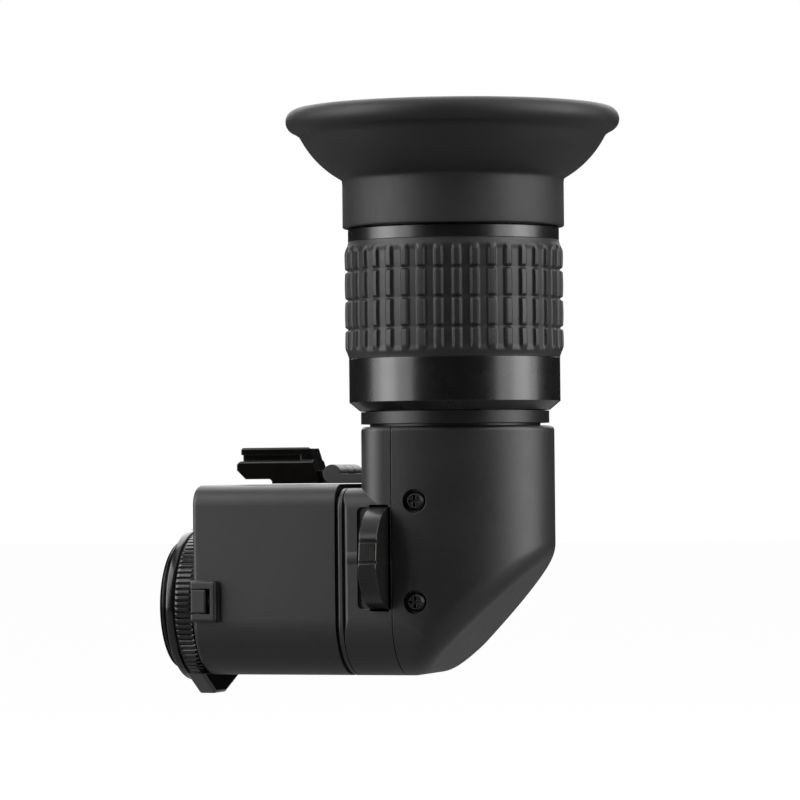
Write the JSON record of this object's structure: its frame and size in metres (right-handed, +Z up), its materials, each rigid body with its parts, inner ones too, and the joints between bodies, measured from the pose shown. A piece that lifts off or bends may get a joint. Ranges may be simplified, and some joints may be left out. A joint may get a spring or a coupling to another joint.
{
  "type": "right-angle viewfinder attachment",
  "caption": "Right-angle viewing attachment: screw-on ring, boxy objective block, angled body and an upright eyepiece with ribbed dioptre grip and round rubber eyecup.",
  "frame": {"origin": "centre of the camera thread, at the screw-on ring's seating face", "axes": "+X along the optical axis from the camera into the block, +Z up along the eyepiece, -Y the side with the lever"},
  "size_m": [0.0784, 0.0568, 0.0994],
  "materials": {
    "ring_metal": "satin black, knurled grip",
    "sleeve_metal": "polished black anodised",
    "satin_tube": "satin black",
    "black_shell": "fine matte black paint",
    "gloss_black": "glossy black",
    "lever_plastic": "semi-gloss black",
    "grip_rubber": "moulded ribbed rubber",
    "cup_rubber": "soft matte rubber",
    "inner_metal": "flat black anti-reflection finish",
    "spring_steel": "bright spring steel",
    "black_screw": "black oxide, slightly glossy",
    "brass_bush": "turned brass",
    "optical_glass": "coated optical glass"
  },
  "bodies": {
    "camera_mount": {"mounting_ring": "ring_metal", "hub_nut": "inner_metal", "friction_washer": "spring_steel"},
    "housing": {"mount_plate": "gloss_black", "objective_block": "black_shell", "objective_cell": "inner_metal", "cell_screws": "black_screw", "button_spring": "spring_steel", "seam_plate": "black_shell", "seam_screws": "black_screw", "front_shell": "black_shell", "rear_cover": "black_shell", "cover_screws": "black_screw", "roof_prism": "optical_glass", "prism_bracket": "inner_metal", "bracket_screws": "black_screw", "prism_clip": "spring_steel", "lever_bush": "brass_bush", "hinge_pin": "spring_steel", "eyepiece_tube": "satin_tube", "field_lens": "optical_glass", "field_retainer": "inner_metal", "tube_cap": "inner_metal", "objective_lens": "optical_glass", "objective_retainer": "inner_metal", "relay_lens": "optical_glass", "relay_retainer": "inner_metal"},
    "dioptre_ring": {"dioptre_sleeve": "sleeve_metal", "rubber_grip": "grip_rubber", "rim_ring": "inner_metal", "eyecup": "cup_rubber"},
    "eye_lens_cell": {"eye_lens_barrel": "inner_metal", "inner_eye_lens": "optical_glass", "lens_spacer": "inner_metal", "outer_eye_lens": "optical_glass", "eye_lens_retainer": "inner_metal", "drive_pin": "spring_steel"},
    "magnifier": {"selector_lever": "lever_plastic", "swing_arm": "inner_metal", "arm_screws": "black_screw", "swing_lens": "optical_glass", "lever_shaft": "spring_steel"},
    "flip_clip": {"clip_shoe": "gloss_black", "clip_arm": "black_shell"},
    "lock_button": {"lock_button": "black_shell"}
  },
  "joints": [
    {"name": "finder_rotation", "type": "hinge", "parent": "camera_mount", "child": "housing", "pos_m": [0, 0, 0], "axis": [1, 0, 0], "continuous": true},
    {"name": "dioptre_turn", "type": "hinge", "parent": "housing", "child": "dioptre_ring", "pos_m": [0.0481, 0, 0.05], "axis": [0, 0, 1], "range_deg": [-60, 60]},
    {"name": "eye_lens_travel", "type": "slide", "parent": "housing", "child": "eye_lens_cell", "axis": [0, 0, 1], "range_m": [-0.0015, 0.0015]},
    {"name": "magnification_swing", "type": "hinge", "parent": "housing", "child": "magnifier", "pos_m": [0.0396, -0.0142, 0.0082], "axis": [1, 0, 0], "range_deg": [0, 30]},
    {"name": "clip_flip", "type": "hinge", "parent": "housing", "child": "flip_clip", "pos_m": [0.0279, 0, 0.02235], "axis": [0, 1, 0], "range_deg": [0, 50]},
    {"name": "lock_press", "type": "slide", "parent": "housing", "child": "lock_button", "axis": [0, 1, 0], "range_m": [0, 0.001], "stiffness_N_per_m": 300, "springref_m": -0.0005, "deforming": ["button_spring"]}
  ],
  "couplings": [
    {"joint": "eye_lens_travel", "follows": "dioptre_turn", "m_per_rad": 0.0014324}
  ]
}
